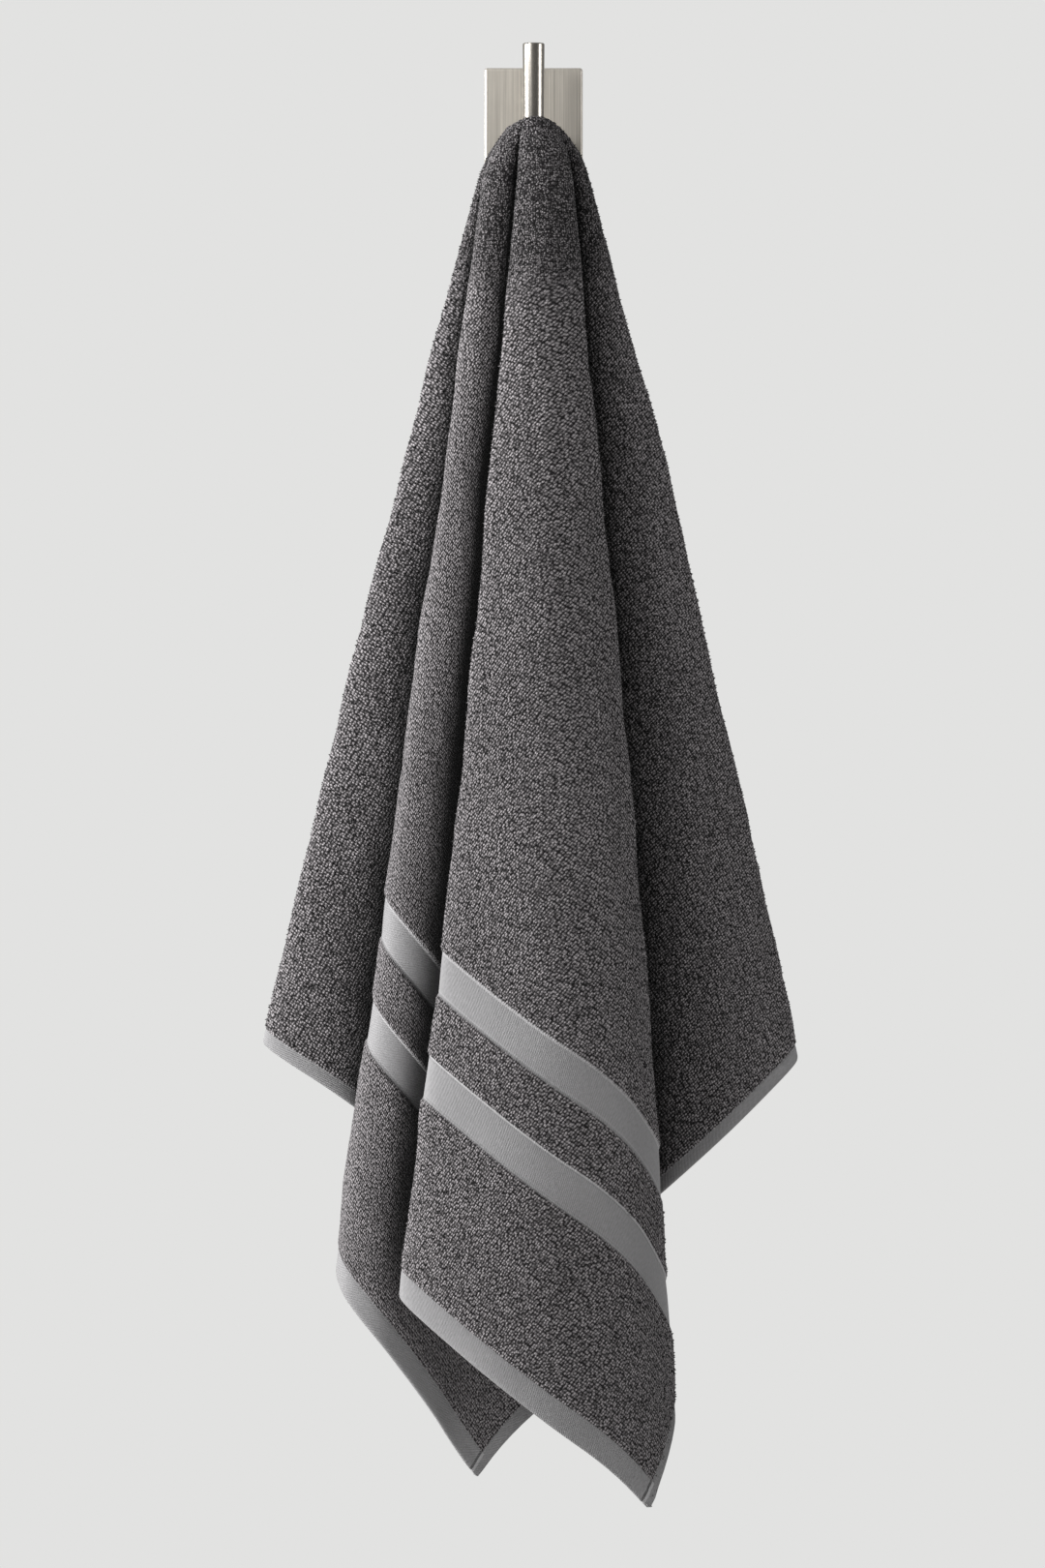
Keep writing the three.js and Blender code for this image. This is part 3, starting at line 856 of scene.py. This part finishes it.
def select_where(piece, vertex_test=None, edge_test=None):
    """In edit mode, selects only the vertices or edges that pass the test."""
    bpy.ops.mesh.select_all(action="DESELECT")
    mesh = bmesh.from_edit_mesh(piece.data)
    if vertex_test:
        for vertex in mesh.verts:
            vertex.select = vertex_test(vertex.co)
    if edge_test:
        for edge in mesh.edges:
            edge.select = edge_test(*[v.co for v in edge.verts])
    mesh.select_flush(True)
    bmesh.update_edit_mesh(piece.data)


def settle(piece, name):
    """Names the piece and puts its place into its mesh."""
    select_only(piece)
    bpy.ops.object.transform_apply(location=True, rotation=True, scale=True)
    piece.name = name
    piece.data.name = name
    return piece


class TOWEL_OT_hook(bpy.types.Operator):
    """Models the wall plate and post, and finishes the stem"""

    bl_idname = "towel.hook"
    bl_label = "Wall hook"

    def execute(self, context):
        sizes = context.scene.hook_sizes
        # The plate is brushed from top to bottom, and the post is turned, so its finer grain runs round it
        plate_steel = steel_material(
            "stainless_steel_brushed_upright", sizes.steel_colour,
            grain_scale=(1500, 900, 9), grain=0.3, roughness=0.42, metallic=0.35,
        )
        post_steel = steel_material(
            "stainless_steel_turned", sizes.post_colour,
            grain_scale=(400, 400, 2400), grain=0.01, roughness=0.27, metallic=0.85,
        )

        low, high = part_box("hook_plate")
        middle = (low + high) / 2
        bpy.ops.mesh.primitive_cube_add(size=1, location=middle)
        plate = context.active_object
        plate.scale = (sizes.plate_side, sizes.plate_depth, sizes.plate_side)
        settle(plate, "wall_plate")
        bpy.ops.object.mode_set(mode="EDIT")
        bpy.ops.mesh.select_mode(type="EDGE")
        select_where(plate, edge_test=lambda a, b: abs(a.y - b.y) > 0.5 * sizes.plate_depth)
        bpy.ops.mesh.bevel(offset=sizes.plate_corner, segments=8, affect="EDGES")
        front = low.y
        select_where(plate, edge_test=lambda a, b: abs(a.y - front) < 1e-5 and abs(b.y - front) < 1e-5)
        bpy.ops.mesh.bevel(offset=0.00006, segments=2, affect="EDGES")
        bpy.ops.object.mode_set(mode="OBJECT")
        bpy.ops.object.shade_smooth_by_angle(angle=math.radians(25))
        plate.data.materials.append(plate_steel)
        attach(plate, "root")
        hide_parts("hook_plate")

        low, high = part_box("hook_post")
        middle = (low + high) / 2
        bpy.ops.mesh.primitive_cylinder_add(
            vertices=128, radius=sizes.post_low_radius, depth=high.z - low.z, location=middle
        )
        post = settle(context.active_object, "upright_post")
        bpy.ops.object.mode_set(mode="EDIT")
        bpy.ops.mesh.select_mode(type="VERT")
        select_where(post, vertex_test=lambda p: p.z > high.z - 1e-5)
        wider = sizes.post_top_radius / sizes.post_low_radius
        bpy.ops.transform.resize(value=(wider, wider, 1), center_override=(middle.x, middle.y, high.z))
        bpy.ops.mesh.select_mode(type="EDGE")
        for level in (low.z, high.z):
            select_where(post, edge_test=lambda a, b: abs(a.z - level) < 1e-5 and abs(b.z - level) < 1e-5)
            bpy.ops.mesh.bevel(offset=0.001, segments=5, affect="EDGES")
        bpy.ops.object.mode_set(mode="OBJECT")
        bpy.ops.object.shade_smooth_by_angle(angle=math.radians(25))
        post.data.materials.append(post_steel)
        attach(post, "root")
        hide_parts("hook_post")

        stem = frame["nodes"]["hook_stem"]
        stem.data.materials.clear()
        stem.data.materials.append(post_steel)
        return {"FINISHED"}


class TOWEL_OT_cloth(bpy.types.Operator):
    """Makes the gathered towel as one sheet of cloth"""

    bl_idname = "towel.cloth"
    bl_label = "Towel"

    def execute(self, context):
        sizes = context.scene.towel_sizes
        cloth = TowelCloth(sizes)
        mesh = cloth_mesh("bath_towel", cloth, sizes.wave)
        towel = bpy.data.objects.new("bath_towel", mesh)
        context.scene.collection.objects.link(towel)
        select_only(towel)
        bpy.ops.object.shade_smooth()
        towel.data.materials.append(cotton_material(sizes))
        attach(towel, "root")
        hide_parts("towel")
        pile = bpy.data.objects.new("towel_pile", pile_mesh("towel_pile", cloth, sizes.wave))
        context.scene.collection.objects.link(pile)
        pile.data.materials.append(towel.data.materials[0])
        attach(pile, "root")
        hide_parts("towel")
        return {"FINISHED"}


class TOWEL_OT_studio(bpy.types.Operator):
    """Sets the pale floor, the soft light and the camera"""

    bl_idname = "towel.studio"
    bl_label = "Studio"

    def execute(self, context):
        sizes = context.scene.studio_sizes
        scene = context.scene
        scene.view_settings.view_transform = "Standard"
        scene.view_settings.look = "None"

        bpy.ops.mesh.primitive_circle_add(
            vertices=96, radius=2.6, fill_type="NGON", location=(0, -0.4, -sizes.floor_drop)
        )
        floor = settle(context.active_object, "floor")
        material, tree, output = new_material("painted_board_pale")
        solid = add_node(tree, "TexCoord").outputs["Object"]
        mottle = add_node(tree, "TexNoise", {"Vector": solid, "Scale": 3.0, "Detail": 4.0}).outputs["Fac"]
        shade = add_node(
            tree, "MapRange", {"Value": mottle, "To Min": 0.97, "To Max": 1.03}
        ).outputs["Result"]
        paint = add_node(
            tree, "VectorMath", {0: tuple(sizes.floor_colour), "Scale": shade}, operation="SCALE"
        ).outputs[0]
        shader = add_node(tree, "BsdfPrincipled", {"Base Color": paint, "Roughness": 0.9})
        tree.links.new(shader.outputs[0], output.inputs["Surface"])
        floor.data.materials.append(material)

        world = bpy.data.worlds.new("studio_surround")
        world.use_nodes = True
        scene.world = world
        tree = world.node_tree
        tree.nodes.clear()
        # The room is dim in front, brighter at the left and above, and pale behind, where the wall would be
        way = add_node(tree, "SeparateXYZ", {0: add_node(tree, "TexCoord").outputs["Generated"]})
        across = add_node(
            tree, "MapRange", {"Value": way.outputs["X"], "From Min": -1.0, "To Min": 0.1, "To Max": 0.07}
        ).outputs["Result"]
        above = add_node(
            tree, "MapRange", {"Value": way.outputs["Z"], "From Min": 0.3, "From Max": 0.9, "To Max": 0.2}
        ).outputs["Result"]
        behind = add_node(
            tree, "MapRange", {"Value": way.outputs["Y"], "From Min": 0.1, "From Max": 0.5, "To Max": 0.25}
        ).outputs["Result"]
        strength = add_node(tree, "Math", {0: across, 1: above}, operation="ADD").outputs[0]
        strength = add_node(tree, "Math", {0: strength, 1: behind}, operation="ADD").outputs[0]
        seen = add_node(tree, "Background", {"Color": (*sizes.backdrop_colour, 1), "Strength": 1.0})
        fill = add_node(tree, "Background", {"Color": (*sizes.backdrop_colour, 1), "Strength": strength})
        path = add_node(tree, "LightPath")
        both = add_node(
            tree, "MixShader", {0: path.outputs["Is Camera Ray"], 1: fill.outputs[0], 2: seen.outputs[0]}
        )
        world_output = tree.nodes.new("ShaderNodeOutputWorld")
        tree.links.new(both.outputs[0], world_output.inputs["Surface"])

        # Soft lamps at the left, a weak one at the right, and a narrow strip that is reflected in the post
        lamps = (
            ("key_light", (-2.05, -1.9, 1.3), (0.9, 0.9), 68.0),
            ("side_light", (-2.85, -0.45, 0.1), (1.2, 1.2), 142.0),
            ("right_light", (2.7, -0.75, 0.3), (1.2, 1.2), 31.0),
            ("strip_light", (-1.3, -2.4, 0.9), (0.25, 2.4), 3.5),
        )
        aim = np.array([0.0, -0.05, -0.4])
        for name, place, (wide, tall), power in lamps:
            light = bpy.data.lights.new(name, "AREA")
            light.shape = "RECTANGLE"
            light.size = wide
            light.size_y = tall
            light.energy = power
            lamp = bpy.data.objects.new(name, light)
            scene.collection.objects.link(lamp)
            lamp.location = place
            lamp.rotation_euler = Vector(aim - np.array(place)).to_track_quat("-Z", "Y").to_euler()

        picture_height = 1620
        metres_per_pixel = 0.646 * MM
        centre = (-0.0074, -0.4478)
        camera_data = bpy.data.cameras.new("camera")
        camera_data.sensor_width = 36
        camera_data.lens = 36 * sizes.camera_distance / (picture_height * metres_per_pixel)
        camera = bpy.data.objects.new("camera", camera_data)
        scene.collection.objects.link(camera)
        camera.location = (centre[0], AXIS_Y * MM - sizes.camera_distance, centre[1])
        camera.rotation_euler = (math.radians(90), 0, 0)
        scene.camera = camera
        return {"FINISHED"}


class TOWEL_PT_panel(bpy.types.Panel):
    """Lists the towel's steps and sizes"""

    bl_label = "Bath Towel"
    bl_idname = "TOWEL_PT_panel"
    bl_space_type = "VIEW_3D"
    bl_region_type = "UI"
    bl_category = "Towel"

    def draw(self, context):
        scene = context.scene
        for group, operator in (
            (scene.studio_sizes, TOWEL_OT_studio),
            (scene.hook_sizes, TOWEL_OT_hook),
            (scene.towel_sizes, TOWEL_OT_cloth),
        ):
            box = self.layout.box()
            for name in group.bl_rna.properties.keys():
                if name not in ("rna_type", "name"):
                    box.prop(group, name)
            box.operator(operator.bl_idname)


CLASSES = (TowelSizes, HookSizes, StudioSizes, TOWEL_OT_studio, TOWEL_OT_hook, TOWEL_OT_cloth, TOWEL_PT_panel)


def register():
    for kind in CLASSES:
        bpy.utils.register_class(kind)
    bpy.types.Scene.towel_sizes = bpy.props.PointerProperty(type=TowelSizes)
    bpy.types.Scene.hook_sizes = bpy.props.PointerProperty(type=HookSizes)
    bpy.types.Scene.studio_sizes = bpy.props.PointerProperty(type=StudioSizes)


def unregister():
    del bpy.types.Scene.studio_sizes
    del bpy.types.Scene.hook_sizes
    del bpy.types.Scene.towel_sizes
    for kind in reversed(CLASSES):
        bpy.utils.unregister_class(kind)


def main():
    register()
    bpy.ops.towel.studio()
    bpy.ops.towel.hook()
    bpy.ops.towel.cloth()


if __name__ == "__main__":
    main()
